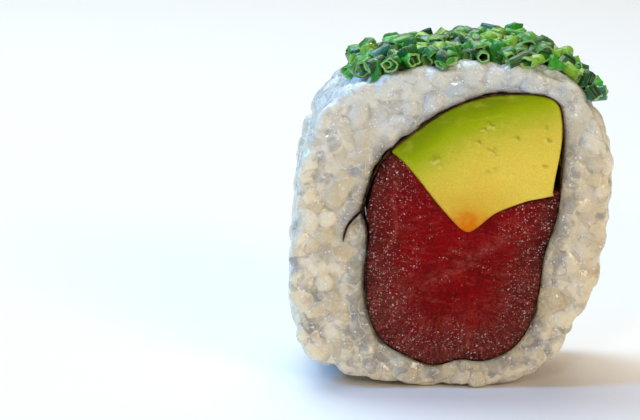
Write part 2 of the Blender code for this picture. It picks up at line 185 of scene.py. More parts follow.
wrap = smoothLine(section["nori"], 1.2)
flap = smoothLine([tuple(wrap[-1]), section["nori"][0]] + section["noriEnd"], 1.2, closed=False)
riceLine = smoothLine(section["rice"], 0.5)
sheet = np.vstack([wrap[1:], flap[1:-1]])
edges = np.vstack([moved(sheet, side * section["noriThickness"] / 2, closed=False) for side in (1, -1)])
noriHalf = halfDepth - section["noriInset"]
lowest = np.vstack([turned(atDepth(edges, y)) for y in (-noriHalf, noriHalf)]).min(0)
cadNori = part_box("nori")
# the solids were moved until their box was centred, and the nori's place tells how far
shift = np.array([cadNori[0].x, (cadNori[0].y + cadNori[1].y) / 2, 0]) / mm - np.array([lowest[0], 0, 0])
print("section ready, moved by", np.round(shift, 2), "mm")


def insideBox(points):
    # kept inside the part's own box
    return np.clip(points, *cadBox)


def placed(points):
    # millimetres of the straight section to metres in the frame
    return insideBox((turned(points) + shift) * mm)


def makeMesh(name, points, faces, values=None):
    mesh = bpy.data.meshes.new(name)
    mesh.from_pydata(points.tolist(), [], faces)
    for key, numbers in (values or {}).items():
        mesh.attributes.new(key, "FLOAT", "POINT").data.foreach_set("value", np.asarray(numbers, np.float32))
    mesh.polygons.foreach_set("use_smooth", [True] * len(mesh.polygons))
    mesh.update()
    obj = bpy.data.objects.new(name, mesh)
    scene.collection.objects.link(obj)
    return obj


def band(a, b, count):
    # the faces between two rings of points that start at a and b
    return [(a + k, a + (k + 1) % count, b + (k + 1) % count, b + k) for k in range(count)]


def finish(obj, material, slot, *nodes):
    obj.data.materials.append(material)
    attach(obj, "root")
    if nodes:
        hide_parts(*nodes)


def bumpy(points, size, seed=0.0):
    # soft noise from -1 to 1 at each point
    return np.array([noise.noise(Vector(p)) for p in points / size + seed])


# Materials


class Wire:
    # wraps a socket, so that shader maths reads as plain sums
    def __init__(self, paint, socket):
        self.paint, self.socket = paint, socket

    def __add__(self, other):
        return self.paint.math("ADD", self, other)

    def __sub__(self, other):
        return self.paint.math("SUBTRACT", self, other)

    def __rsub__(self, other):
        return self.paint.math("SUBTRACT", other, self)

    def __mul__(self, other):
        return self.paint.math("MULTIPLY", self, other)

    __radd__, __rmul__ = __add__, __mul__


class Paint:
    # one material: a Principled shader and the nodes that feed it
    def __init__(self, name, settings):
        self.material = bpy.data.materials.new(name)
        self.material.use_nodes = True
        self.tree = self.material.node_tree
        self.shader = self.tree.nodes["Principled BSDF"]
        for key, value in settings.items():
            self.plug(self.shader.inputs[key], value)
        spot = self.node("TexCoord", {}, {}, "Object")
        self.place = self.node("VectorMath", {"operation": "SCALE"}, {0: spot, "Scale": 1 / mm})  # in mm

    def plug(self, socket, value):
        if isinstance(value, Wire):
            self.tree.links.new(value.socket, socket)
        else:
            socket.default_value = tint(value) if isinstance(value, str) else value

    def node(self, kind, settings, inputs, out=0):
        made = self.tree.nodes.new("ShaderNode" + kind)
        for key, value in settings.items():
            if key == "stops":
                ramp = made.color_ramp.elements
                while len(ramp) < len(value):
                    ramp.new(0.5)
                for stop, (where, code) in zip(ramp, value):
                    stop.position, stop.color = where, tint(code)
            else:
                setattr(made, key, value)
        for key, value in inputs.items():
            self.plug(made.inputs[key], value)
        return Wire(self, made.outputs[out])

    def math(self, operation, *values):
        return self.node("Math", {"operation": operation}, dict(enumerate(values)))

    def mix(self, share, a, b):
        return self.node("Mix", {"data_type": "RGBA"}, {0: share, 6: a, 7: b}, 2)

    def span(self, value, low, high, start=0.0, end=1.0):
        # eases from start to end as the value goes from low to high
        return self.node("MapRange", {"interpolation_type": "SMOOTHSTEP"},
                         {"Value": value, "From Min": low, "From Max": high, "To Min": start, "To Max": end})

    def value(self, name):
        return self.node("Attribute", {"attribute_name": name}, {}, "Fac")

    def height(self):
        return self.node("SeparateXYZ", {}, {0: self.place}, "Z")

    def cloud(self, size, detail=2.0, stretch=(1, 1, 1), roughness=0.5, warp=0.0):
        # noise whose blotches are about size mm across
        spot = self.node("VectorMath", {"operation": "MULTIPLY"}, {0: self.place, 1: stretch})
        return self.node("TexNoise", {}, {"Vector": spot, "Scale": 1 / size, "Detail": detail,
                                          "Roughness": roughness, "Distortion": warp})

    def swayed(self, size, far):
        # the place in mm, shifted by up to half of far, so that patterns turn uneven
        sway = self.node("TexNoise", {}, {"Vector": self.place, "Scale": 1 / size, "Detail": 1.0}, "Color")
        return self.node("VectorMath", {"operation": "MULTIPLY_ADD"}, {0: sway, 1: (far,) * 3, 2: self.place})

    def cells(self, size):
        # uneven cells: a random value for each, and the distance to the nearest border in mm
        spot = self.swayed(size * 0.7, size)
        cell = self.node("TexVoronoi", {}, {"Vector": spot, "Scale": 1 / size}, "Color")
        border = self.node("TexVoronoi", {"feature": "DISTANCE_TO_EDGE"}, {"Vector": spot, "Scale": 1 / size})
        return self.node("SeparateColor", {}, {0: cell}), border * size

    def glitter(self, size, share, reach):
        # small uneven dots, one in each cell that is drawn: share of the cells, reach in shares of their size
        spot = self.swayed(size * 0.6, size)
        away, cell = (self.node("TexVoronoi", {}, {"Vector": spot, "Scale": 1 / size}, out)
                      for out in ("Distance", "Color"))
        draw = self.node("SeparateColor", {}, {0: cell})
        return self.math("LESS_THAN", draw, share) * self.span(away, reach * 0.6, reach, 1.0, 0.0)

    def streaks(self, long, short, detail=3.0):
        # noise drawn out away from the edge, for a cut face that has the two attributes
        spot = self.node("CombineXYZ", {}, {0: self.value("along") * (1 / short),
                                            1: self.value("fromEdge") * (1 / long)})
        return self.node("TexNoise", {}, {"Vector": spot, "Scale": 1.0, "Detail": detail, "Roughness": 0.6})

    def relief(self, height, depth):
        # depth is in mm
        return self.node("Bump", {}, {"Height": height, "Distance": depth * mm, "Strength": 1.0})

    def feed(self, **wires):
        for key, wire in wires.items():
            self.plug(self.shader.inputs[key.replace("_", " ")], wire)
        return self.material


def tint(code):
    # a screen colour such as "d8c040" as the shader wants it
    parts = [int(code[k:k + 2], 16) / 255 for k in (0, 2, 4)]
    return tuple(c / 12.92 if c < 0.04045 else ((c + 0.055) / 1.055) ** 2.4 for c in parts) + (1.0,)


# Rice: hundreds of grains pressed together round the nori

rice = {
    "seed": 5,
    "grain": (5.7, 3.2, 2.7),  # length, width, thickness
    "uneven": 0.13,  # how much a size may differ, in shares of it
    "taper": 0.3,
    "bend": (-0.1, 0.22),
    "apart": 2.3,  # least distance between grains that lie side by side
    "layers": (0.0, 0.95),  # how deep each layer of grains lies
    "inset": 1.3,  # from a cut face to the middle of the nearest grain of the rim
    "clear": (1.4, 1.2),  # the same in a cut face, from the outline and from the nori
    "lean": 0.25,  # how far a grain of the rim may point out of its surface
    "core": (1.0, 0.6),  # depth of the plain core under the outside and under the cut faces
    "cutAcross": 0.3,  # share of the grains in a cut face that point into it
    "pressedOutside": 0.45,  # what is left of a grain's height beyond the outline
    "knifeDepth": 0.75,  # the knife smears what lies above this depth
    "pressedByKnife": 0.16,
    "knifeLift": (0.5, 0.55),  # a height above it, and how far grains rise there, in shares of the depth
    "voxel": 0.2,
    "triangles": 192000,
    "starch": 0.5,  # how far the starch fills the hollows where it is thickest
    "softenings": 24,  # smoothing passes that find its level
    "rough": [(1.0, 0.0, 0.07), (2.4, 7.0, 0.11)],  # size, seed and height of the unevenness on top
    "joint": 0.45,  # width of a joint between grains
    "bright": "f4e3c2",
    "shaded": "d2bd96",
    "glassy": "948b7f",  # grains that let the light through
    # painted shade in the hollows between grains
    "paintedCreviceShade": "7c6e58",
    "warm": "eabf80",
    # painted skylight: a cool tint on the upper rice
    "paintedSkylight": "dfe4e0",  # towards the top
    "speck": "6b4a2c",
    "surface": {"IOR": 1.4, "Specular IOR Level": 0.4, "Coat Roughness": 0.07, "Coat IOR": 1.45,
                "Subsurface Weight": 0.75, "Subsurface Radius": (1.9, 1.6, 1.2), "Subsurface Scale": mm},
}


def grainPattern(rings=10, sides=12):
    # points of one blunt grain of size 1 along X, and its faces
    t = -np.cos(np.linspace(0, np.pi, rings + 2))[1:-1]
    wide = (1 - np.abs(t) ** 2.6) ** 0.5
    angle = np.arange(sides) * 2 * np.pi / sides
    points = [[-0.5, 0, 0]]
    for i in range(rings):
        points += [[t[i] / 2, wide[i] / 2 * math.cos(a), wide[i] / 2 * math.sin(a)] for a in angle]
    points.append([0.5, 0, 0])
    faces = [(0, 1 + (k + 1) % sides, 1 + k) for k in range(sides)]
    for row in range(1, 1 + (rings - 1) * sides, sides):
        faces += band(row, row + sides, sides)
    row = 1 + (rings - 1) * sides
    faces += [(row + k, row + (k + 1) % sides, row + sides) for k in range(sides)]
    return np.array(points, float), faces


def shapedGrain(pattern, rng):
    # one grain with its own size, bend and taper
    size = np.array(rice["grain"]) * rng.uniform(1 - rice["uneven"], 1 + rice["uneven"], 3)
    points = pattern.copy()
    points[:, 1:] *= 1 + rng.uniform(-rice["taper"], rice["taper"]) * points[:, :1]
    points[:, 1] += rng.uniform(*rice["bend"]) * (2 * points[:, 0]) ** 2 * 0.5
    return points * size, size


def scattered(spots, gap, longWays=None):
    # which spots stay when none may crowd an earlier one
    slim = 1 - (rice["grain"][1] / rice["grain"][0]) ** 2
    kept = []
    for k, spot in enumerate(spots):
        step = spots[kept] - spot
        near = np.linalg.norm(step, axis=1)
        if longWays is not None:
            # end to end, grains need more room than side by side
            ways = [(step * way).sum(1) for way in (longWays[kept], longWays[k])]
            near = sum(np.sqrt(near ** 2 - slim * way ** 2) for way in ways) / 2
        if not kept or near.min() > gap:
            kept.append(k)
    return kept


def unit(vectors):
    return vectors / np.linalg.norm(vectors, axis=1)[:, None]


def posed(points, longWay, thinWay, centre):
    longWay = longWay / np.linalg.norm(longWay)
    sideWay = np.cross(thinWay, longWay)
    sideWay /= np.linalg.norm(sideWay)
    return points @ np.array([longWay, sideWay, np.cross(longWay, sideWay)]) + centre


def rimPlaces(rng, sunk, tries=7000):
    # grains along the outside of the roll, lying any way in its surface
    index = rng.integers(len(riceLine), size=tries)
    y = rng.uniform(-1, 1, tries) * (halfDepth - rice["inset"])
    dx, dz = headings(riceLine)[index].T
    out = np.column_stack([dz, np.zeros(tries), -dx])
    back = np.sin(rng.uniform(-1, 1, tries) * math.pi / 2)
    back *= np.minimum(1, (halfDepth - np.abs(y)) / (0.45 * rice["grain"][0]))  # stays inside the cut faces
    around = np.sqrt(1 - back ** 2)
    longWays = np.column_stack([dx * around, back, dz * around])
    longWays = unit(longWays + out * rng.uniform(-rice["lean"], rice["lean"], (tries, 1)))
    spots = atDepth(riceLine[index], y)
    spots -= out * (rice["grain"][2] / 2 + sunk + rng.uniform(-0.15, 0.4, (tries, 1)))
    return [(longWays[k], out[k], spots[k]) for k in scattered(spots, rice["apart"], longWays)]


def facePlaces(rng, sunk, hole, side, tries=5000):
    # grains in a cut face: along its edges close to them, any way between, some cut across
    spots = rng.uniform(riceLine.min(0), riceLine.max(0), (tries, 2))
    fromRim, fromHole = rice["clear"]
    spots = spots[within(spots, moved(riceLine, -fromRim)) & ~within(spots, moved(hole, fromHole))]
    toHole, toRim = (np.linalg.norm(spots[:, None] - line, axis=2) for line in (hole, riceLine))
    clear = np.minimum(toHole.min(1), toRim.min(1))
    heading = np.where((toHole.min(1) < toRim.min(1))[:, None], headings(hole)[toHole.argmin(1)],
                       headings(riceLine)[toRim.argmin(1)])
    count = len(spots)
    freedom = 10 + 80 * np.clip((clear - 1.8) / 1.4, 0, 1)  # degrees, few near an edge
    angle = np.radians(rng.uniform(-1, 1, count) * freedom)
    dx, dz = heading.T
    inwards = np.where(rng.uniform(0, 1, count) < rice["cutAcross"], rng.uniform(1.0, 3.0, count),
                       rng.uniform(-0.3, 0.3, count))
    longWays = unit(np.column_stack([dx * np.cos(angle) - dz * np.sin(angle), inwards,
                                     dx * np.sin(angle) + dz * np.cos(angle)]))
    depth = halfDepth - rice["grain"][2] / 2 - sunk + rng.uniform(-0.25, 0.3, count)
    depth -= np.abs(longWays[:, 1]) * (rice["grain"][0] - rice["grain"][2]) * 0.4
    spots, thinWay = atDepth(spots, side * depth), np.array([0.3, side, 0.2])
    return [(longWays[k], thinWay, spots[k]) for k in scattered(spots, rice["apart"], longWays)]


def pressedTogether(points, hole):
    # the mat flattens grains outside, the knife at the cut faces, and the nori inside
    flat = points[:, [0, 2]]
    outside, inside = ~within(flat, riceLine), within(flat, hole)
    spots = nearestOn(flat[outside], riceLine)[1]
    flat[outside] = spots + (flat[outside] - spots) * rice["pressedOutside"]
    flat[inside] = nearestOn(flat[inside], hole)[1]
    smeared, (reach, lift) = halfDepth - rice["knifeDepth"], rice["knifeLift"]
    over = np.maximum(np.abs(points[:, 1]) - smeared, 0)
    y = np.sign(points[:, 1]) * (np.minimum(np.abs(points[:, 1]), smeared) + over * rice["pressedByKnife"]
                                 + np.minimum(over / reach, 1) * rice["knifeDepth"] * lift)
    return atDepth(flat, y)


def atAngles(loop, centre, angles):
    arm = loop - centre
    theta, reach = np.arctan2(arm[:, 1], arm[:, 0]), np.linalg.norm(arm, axis=1)
    order = np.argsort(theta)
    length = np.interp(angles, theta[order], reach[order], period=2 * np.pi)
    return centre + length[:, None] * np.column_stack([np.cos(angles), np.sin(angles)])


def riceCore(hole):
    # plain ring behind the grains
    sides, centre = 160, np.array([1.5, 21.5])
    angles, half = np.linspace(-np.pi, np.pi, sides, endpoint=False), halfDepth - rice["core"][1]
    outer, inner = atAngles(moved(riceLine, -rice["core"][0]), centre, angles), atAngles(hole, centre, angles)
    rings = [(outer, -half), (outer, half), (inner, half), (inner, -half)]
    faces = []
    for ring in range(len(rings)):
        faces += band(ring * sides, (ring + 1) % len(rings) * sides, sides)
    return np.vstack([atDepth(loop, y) for loop, y in rings]), faces


def heapedGrains(rng):
    # every grain and the core in one object, and where the grains lie
    hole = spaced(moved(wrap, nori["thick"] / 2), 0.6)
    # the rice comes a little over the nori's edge, more in some places
    hole = moved(hole, -nori["covered"] * (1 + 2.4 * bumpy(np.column_stack([hole, hole[:, 0] * 0]), 1.9)))
    places = []
    for sunk in rice["layers"]:
        places += rimPlaces(rng, sunk)
        for side in (-1, 1):
            places += facePlaces(rng, sunk, hole, side)
    pattern, patternFaces = grainPattern()
    clouds, samples = [], []
    for longWay, thinWay, centre in places:
        grain, size = shapedGrain(pattern, rng)
        clouds.append(posed(grain, longWay, thinWay, centre))
        samples += [centre - longWay * size[0] * 0.3, centre, centre + longWay * size[0] * 0.3]
    points = pressedTogether(np.vstack(clouds), hole)
    faces = [tuple(len(pattern) * k + i for i in face) for k in range(len(places)) for face in patternFaces]
    corePoints, coreFaces = riceCore(hole)
    faces += [tuple(len(points) + i for i in face) for face in coreFaces]
    print("rice:", len(places), "grains")
    return makeMesh("riceHeap", placed(np.vstack([points, corePoints])), faces), placed(np.array(samples))


def applied(obj):
    # the object with its modifiers worked into its mesh
    mesh = bpy.data.meshes.new_from_object(obj.evaluated_get(bpy.context.evaluated_depsgraph_get()))
    obj.modifiers.clear()
    old, obj.data = obj.data, mesh
    bpy.data.meshes.remove(old)
    return mesh


def fused(heap):
    # the heap as one skin, finest where it is most curved
    remesh = heap.modifiers.new("fuse", "REMESH")
    remesh.mode, remesh.voxel_size = "VOXEL", rice["voxel"] * mm
    smooth = heap.modifiers.new("soften", "SMOOTH")
    smooth.factor, smooth.iterations = 0.5, 2
    count = 2 * len(applied(heap).polygons)
    thin = heap.modifiers.new("thin", "DECIMATE")
    thin.ratio = min(1, rice["triangles"] / count)
    mesh = applied(heap)
    bpy.data.objects.remove(heap)
    return mesh


def neighbourMean(values, pairs, count):
    # each point's mean over the points it shares an edge with
    total = np.zeros((len(count), values.shape[1]))
    for k in range(values.shape[1]):
        total[:, k] = (np.bincount(pairs[:, 0], values[pairs[:, 1], k], len(count))
                       + np.bincount(pairs[:, 1], values[pairs[:, 0], k], len(count)))
    return total / count[:, None]


def meshArrays(mesh):
    # the points, their normals, and the edges as pairs of points
    points, normals = np.zeros(len(mesh.vertices) * 3), np.zeros(len(mesh.vertices) * 3)
    pairs = np.zeros(len(mesh.edges) * 2, int)
    mesh.vertices.foreach_get("co", points)
    mesh.vertices.foreach_get("normal", normals)
    mesh.edges.foreach_get("vertices", pairs)
    return points.reshape(-1, 3), normals.reshape(-1, 3), pairs.reshape(-1, 2)


def grainsAt(points, samples, tones):
    # the tone of the grain at each point, and from 0 to 1 how near the joint with the next grain is
    tree = kdtree.KDTree(len(samples))
    for k, spot in enumerate(samples):
        tree.insert(spot, k)
    tree.balance()
    tone, seam = np.zeros((len(points), 1)), np.zeros((len(points), 1))
    for k, point in enumerate(points):
        found = tree.find_n(point, 4)
        own = found[0][1] // 3
        others = [reach for _, index, reach in found if index // 3 != own]
        tone[k] = tones[own]
        seam[k] = max(0, 1 - (min(others, default=1) - found[0][2]) / (rice["joint"] * mm))
    return tone, seam


def makeRice():
    rng = np.random.default_rng(rice["seed"])
    heap, samples = heapedGrains(rng)
    mesh = fused(heap)
    points, normals, pairs = meshArrays(mesh)
    faces = [tuple(face.vertices) for face in mesh.polygons]
    bpy.data.meshes.remove(mesh)
    degree = np.bincount(pairs.ravel(), minlength=len(points))

    soft = points
    for _ in range(rice["softenings"]):
        soft = 0.5 * soft + 0.5 * neighbourMean(soft, pairs, degree)
    # the starch is thick in some places and thin in others
    starch = np.clip(0.6 + 1.3 * bumpy(points / mm, 6.0), 0.2, 1) * rice["starch"]
    points = points + (soft - points) * starch[:, None]
    # how deep each point lies under the softened skin, which sets the painted shade in the hollows
    hollow = ((soft - points) * normals).sum(1)[:, None] / mm
    tone, seam = grainsAt(points, samples, rng.uniform(0, 1, len(samples) // 3))
    for _ in range(2):
        tone, hollow = neighbourMean(tone, pairs, degree), neighbourMean(hollow, pairs, degree)
    rough = sum(bumpy(points / mm, size, seed) * height for size, seed, height in rice["rough"])
    points = insideBox(points + normals * (rough * mm)[:, None])
    print("rice fused:", len(faces), "faces")
    toNori = nearestOn(turned(points / mm - shift, -1)[:, [0, 2]], wrap)[0]
    values = {"hollow": hollow[:, 0], "tone": tone[:, 0], "seam": seam[:, 0], "toNori": toNori}
    return makeMesh("riceGrains", points, faces, values)


def ricePaint():
    p = Paint("cooked rice", rice["surface"])
    pebble, border = p.cells(2.8)
    body = p.mix(p.span(0.6 * p.value("tone") + 0.4 * pebble, 0.2, 0.75), rice["shaded"], rice["bright"])
    body = p.mix(p.span(p.cloud(5.5, 4.0), 0.54, 0.7) * 0.3, body, rice["warm"])
    beside = p.span(p.value("toNori"), 0.3, 4.5, 0.25, 0.0)  # more glassy grains beside the nori
    glassy = 0.25 * pebble + 0.25 * p.value("tone") + p.cloud(2.8, 5.0, roughness=0.6) + beside
    body = p.mix(p.span(glassy, 0.79, 1.02) * 0.8, body, rice["glassy"])
    body = p.mix(p.span(p.cloud(1.5, 5.0, roughness=0.65), 0.4, 0.75) * 0.4, body, rice["bright"])
    # painted skylight: cooler and paler towards the top
    body = p.mix(p.span(p.height(), 26.0, 44.0, 0.0, 0.6), body, rice["paintedSkylight"])
    # painted shade: darker where the skin lies deep in a hollow
    colour = p.mix(p.span(p.value("hollow"), 0.02, 0.14) * 0.5, body, rice["paintedCreviceShade"])
    line = p.span(border, 0.04, 0.14, 1.0, 0.0) * p.span(p.cloud(2.8, 3.0), 0.45, 0.6)  # painted highlight: a thin light line along the grain borders, in patches
    colour = p.mix(line * 0.45, colour, rice["bright"])
    # painted shade: greyer along the joints between grains, in patches
    joint = p.span(p.value("seam"), 0.55, 0.95) * p.span(p.cloud(2.0, 4.0), 0.42, 0.6)
    colour = p.mix(joint * 0.35, colour, rice["glassy"])
    colour = p.mix(p.glitter(6.5, 0.12, 0.05) * 0.8, colour, rice["speck"])
    wet = p.span(p.cloud(1.3, 3.0), 0.4, 0.66)
    crowd = p.span(p.cloud(1.9, 5.0, roughness=0.7) + 0.1 * joint, 0.49, 0.6)  # where the glints gather
    # painted highlights: white dots in the base colour stand for glints on the wet grains
    paintedSparkle = p.math("MAXIMUM", p.glitter(0.36, 0.45, 0.4), p.glitter(0.7, 0.45, 0.32)) * crowd
    bumps = 0.7 * p.cloud(0.2, 3.0, roughness=0.75) + 1.5 * p.cloud(0.5) + 2.0 * p.cloud(1.0, 4.0)
    relief = p.relief(bumps + 0.6 * paintedSparkle + 0.8 * p.span(border, 0.0, 0.4) - 1.1 * joint, 0.125)
    return p.feed(Base_Color=p.mix(paintedSparkle, colour, (1, 1, 1, 1)), Roughness=0.36 - 0.2 * wet,
                  Coat_Weight=0.4 + 0.6 * wet, Normal=relief)


# Nori: one sheet round the filling, its outer end lying in the rice

nori = {
    "colour": "22120a",
    "sheen": "664424",
    "step": 0.35,  # mesh size along the sheet
    "thick": 0.15,
    "looseEnd": [(0, 0.08), (1.5, 0.3), (4.5, 0.3), (7, 0.15)],  # distance to the outer end and thickness
    "start": (0.25, 0.25),  # the inner end's place beside the sheet that comes round over it
    "seed": 3,
    "ragged": 0.2,  # how deeply its cut edges are torn
    "uneven": 0.5,  # how much its thickness differs, in shares of it
    "proud": -0.02,  # how far it stands out of the slice's cut faces
    "covered": 0.13,  # how much of its edge the rice hides
    "surface": {"IOR": 1.45, "Specular IOR Level": 0.05},
}


def makeNori():
    path = np.vstack([wrap[0] + nori["start"], wrap[1:], flap[1:]])
    path = smoothLine(spaced(path, 1.2, closed=False), nori["step"], closed=False)
    half = halfDepth + nori["proud"]
    rng = np.random.default_rng(nori["seed"])
    ys = np.concatenate([[-half, -half + 0.1], np.linspace(-half + 0.6, half - 0.6, 18), [half - 0.1, half]])
    wander = np.array([noise.noise(Vector((s * 0.55, 0, 4.0))) for s in range(len(path))])
    wide = np.interp(np.arange(len(path), 0, -1) * nori["step"], *zip(*nori["looseEnd"])) / 2
    sides = [moved(path, side * wide * (1 + nori["uneven"] * wander), closed=False) for side in (1, -1)]
    rows = []
    for k, y in enumerate(ys):
        end = 1 if k in (0, len(ys) - 1) else 0
        for edge in sides:
            tear = end * nori["ragged"] * np.abs(rng.normal(0, 0.6, len(path))) * np.sign(y)
            rows.append(atDepth(edge, y - tear))
    n, faces = len(path), []
    loopOrder = [2 * k for k in range(len(ys))] + [2 * k + 1 for k in reversed(range(len(ys)))]
    for a, b in zip(loopOrder, loopOrder[1:] + loopOrder[:1]):
        faces += [(a * n + i, b * n + i, b * n + i + 1, a * n + i + 1) for i in range(n - 1)]
    faces += [tuple(row * n for row in loopOrder), tuple(row * n + n - 1 for row in reversed(loopOrder))]
    print("nori:", len(faces), "faces")
    return makeMesh("noriSheet", placed(np.vstack(rows)), faces)


def noriPaint():
    p = Paint("nori", nori["surface"])
    blotch = p.span(p.cloud(1.1, 5.0, roughness=0.7), 0.4, 0.65)
    return p.feed(Base_Color=p.mix(blotch, nori["colour"], nori["sheen"]),
                  Roughness=0.7 + 0.2 * blotch, Normal=p.relief(p.cloud(0.4, 4.0), 0.12))


# Tuna and avocado, which fill the nori together

tuna = {
    "gap": 0.25,  # mesh size
    "rim": 0.12,  # rounding of the cut edge
    "behind": 0.1,  # how far its cut faces lie behind the slice's
    "slack": (-11.6, 25.0, 4.5, 0.6),  # where it falls short of the nori: place, reach and depth
    "corner": [(13.2, 26.2), (13.8, 27.3), (14.8, 27.8), (16.5, 28.0)],  # rises beside the avocado
    "deep": "860407",
    "red": "a8060b",
    "brown": "641f14",
    # painted sheen, low down
    "sheen": "964638",
    "rimmed": "260a06",
    "sinew": "b44e40",
    # painted glints
    "glint": "ffdcd0",
    "surface": {"IOR": 1.38, "Specular IOR Level": 0.05, "Coat Roughness": 0.12, "Coat IOR": 1.36,
                "Subsurface Weight": 0.1, "Subsurface Radius": (1.6, 0.25, 0.2), "Subsurface Scale": mm},
    # lines in the front cut face, with their width and strength
    "sinews": [
        ([(-7.3, 28.6), (-7.6, 24.6), (-7.2, 21.4), (-8.6, 18.6), (-10.4, 16.8)], 0.24, 0.8),
        ([(9.6, 22.4), (5.0, 19.4), (-1.0, 15.6), (-6.6, 12.0)], 0.9, 0.45),
        ([(8.4, 21.2), (3.4, 17.2), (-1.8, 14.9)], 0.18, 0.45),
        ([(-7.8, 10.7), (-7.2, 9.9), (-7.4, 9.0), (-7.0, 8.0)], 0.2, 0.7),
        ([(-9.8, 13.6), (-6.0, 14.2), (-2.0, 13.0)], 0.16, 0.35),
        ([(-8.4, 11.9), (-4.0, 12.6), (1.0, 11.6)], 0.16, 0.4),
    ],
}
avocado = {
    "gap": 0.22,
    "rim": 0.15,
    "behind": 0.15,
    "slack": (14.6, 27.0, 5.5, 1.0),
    "rindEnds": [(12.1, 40.2), (-6.6, 33.8)],  # where the stretch of the nori that the rind lies along ends
    "rind": "7c8c03",
    "green": "a8b603",
    "yellow": "e6cf46",
    "cream": "ffdc58",
    "golden": "e0a01c",
    "tip": "f07c08",
    # painted highlight on the lit lower edge of each nick
    "paintedNickHighlight": "fbe27c",
    "surface": {"IOR": 1.42, "Specular IOR Level": 0.06, "Coat Roughness": 0.3, "Coat IOR": 1.4,
                "Subsurface Weight": 0.2, "Subsurface Radius": (1.2, 0.9, 0.25), "Subsurface Scale": mm},
    # nicks in the front cut face: place, width and depth
    "dents": [(5.0, 35.9, 0.45, 0.3), (4.1, 35.4, 0.35, 0.25), (3.4, 33.6, 0.4, 0.25), (8.4, 34.2, 0.3, 0.3),
              (12.7, 34.0, 0.4, 0.3), (12.3, 35.6, 0.35, 0.2), (-2.3, 31.0, 0.5, 0.25),
              (-1.6, 30.2, 0.3, 0.2), (12.2, 30.6, 0.35, 0.25), (10.9, 30.3, 0.3, 0.2),
              (5.2, 32.3, 0.5, 0.25), (6.0, 31.9, 0.3, 0.2), (4.8, 29.5, 0.4, 0.2), (5.7, 30.0, 0.3, 0.2)],
}


def gridInside(loop, gap):
    low, high = loop.min(0), loop.max(0)
    rows = np.arange(low[1], high[1], gap * 0.87)
    spots = np.array([(x + (k % 2) * gap / 2, z) for k, z in enumerate(rows)
                      for x in np.arange(low[0], high[0], gap)])
    spots = spots[within(spots, loop)]
    return spots[nearestOn(spots, loop)[0] > gap * 0.55]


def fillingMesh(name, loop, look, relief, measures):
    # a slab with finely meshed, softly rounded cut faces
    spots = np.vstack([loop, gridInside(loop, look["gap"])])
    ring = list(range(len(loop)))
    triangles = delaunay_2d_cdt([Vector(p) for p in spots], [], [ring], 1, 1e-9)[2]
    depth, _ = nearestOn(spots, loop)
    depth[:len(loop)] = 0
    inner = np.clip(depth / look["rim"], 0, 1)
    drop = look["rim"] * (1 - np.sqrt(1 - (1 - inner) ** 2))
    half = halfDepth - look["behind"]
    points, faces, values = [], [], {key: [] for key in measures}
    for side in (-1, 1):
        y = side * (half - drop + relief(spots, side) * inner)
        points.append(atDepth(spots, y))
        base = len(spots) * (side > 0)
        faces += [tuple(base + i for i in (t if side > 0 else t[::-1])) for t in triangles]
        for key, measure in measures.items():
            values[key].append(measure(spots, side))
    faces += band(0, len(spots), len(loop))
    return makeMesh(name, placed(np.vstack(points)), faces, {k: np.concatenate(v) for k, v in values.items()})


def slackened(loop, slack):
    # the outline drawn in round one place, on the side that faces it
    x, z, reach, deep = slack
    place, heading = np.array([x, z]), headings(loop)
    towards = place - loop.mean(0)
    facing = (heading[:, 1] * towards[0] - heading[:, 0] * towards[1]) / np.linalg.norm(towards)
    away = np.linalg.norm(loop - place, axis=1) / reach
    return moved(loop, -deep * np.maximum(facing, 0) * np.exp(-away ** 2))


def faceNoise(spots, side, size, seed):
    # noise at spots of a cut face, another for each face
    return bumpy(np.column_stack([spots, np.full(len(spots), side * 9.0)]), size, seed)


def tunaRelief(spots, side):
    x, z = spots.T
    grainWay = np.column_stack([x * 0.5 + z * 0.9, z * 0.35 - x * 0.2])
    return (0.22 * faceNoise(spots, side, 6.0, 1.0) + 0.06 * faceNoise(grainWay, side, 0.9, 5.0)
            + 0.05 * faceNoise(spots, side, 0.8, 9.0))


def tunaSinews(spots, side):
    strength = np.zeros(len(spots))
    if side < 0:
        wobble = np.column_stack([faceNoise(spots, side, 1.6, 3.0), faceNoise(spots, side, 1.6, 8.0)]) * 0.25
        for line, wide, strong in tuna["sinews"]:
            distance = nearestOn(spots + wobble, smoothLine(line, 0.4, closed=False), closed=False)[0]
            strength = np.maximum(strength, strong * np.exp(-(distance / wide) ** 2))
    else:
        for k in range(3):  # three plain ones in the back face
            line = [(-9 + 5 * k, 27 - 2 * k), (-6 + 4 * k, 18), (-8 + 5 * k, 8 + k)]
            distance = nearestOn(spots, smoothLine(line, 0.4, closed=False), closed=False)[0]
            strength = np.maximum(strength, 0.5 * np.exp(-(distance / 0.3) ** 2))
    return strength


def avocadoNicks(spots, side, above=0.0):
    # how far each spot is inside one of the nicks in the front face, from 0 to its depth
    nicked = np.zeros(len(spots))
    if side < 0:
        wobble = np.column_stack([faceNoise(spots, side, 0.7, 3.0), faceNoise(spots, side, 0.7, 8.0)]) * 0.5
        spots = spots + wobble
        for x, z, wide, deep in avocado["dents"]:
            across, over = (spots[:, 0] - x) / (1.5 * wide), (spots[:, 1] - z - above * wide) / (0.8 * wide)
            nicked = np.maximum(nicked, deep * np.exp(-(across + 0.5 * over) ** 2 - over ** 2))
    return nicked


def avocadoRelief(spots, side):
    return (0.15 * faceNoise(spots, side, 5.0, 2.0) + 0.03 * faceNoise(spots, side, 1.2, 6.0)
            - avocadoNicks(spots, side, 1.0))


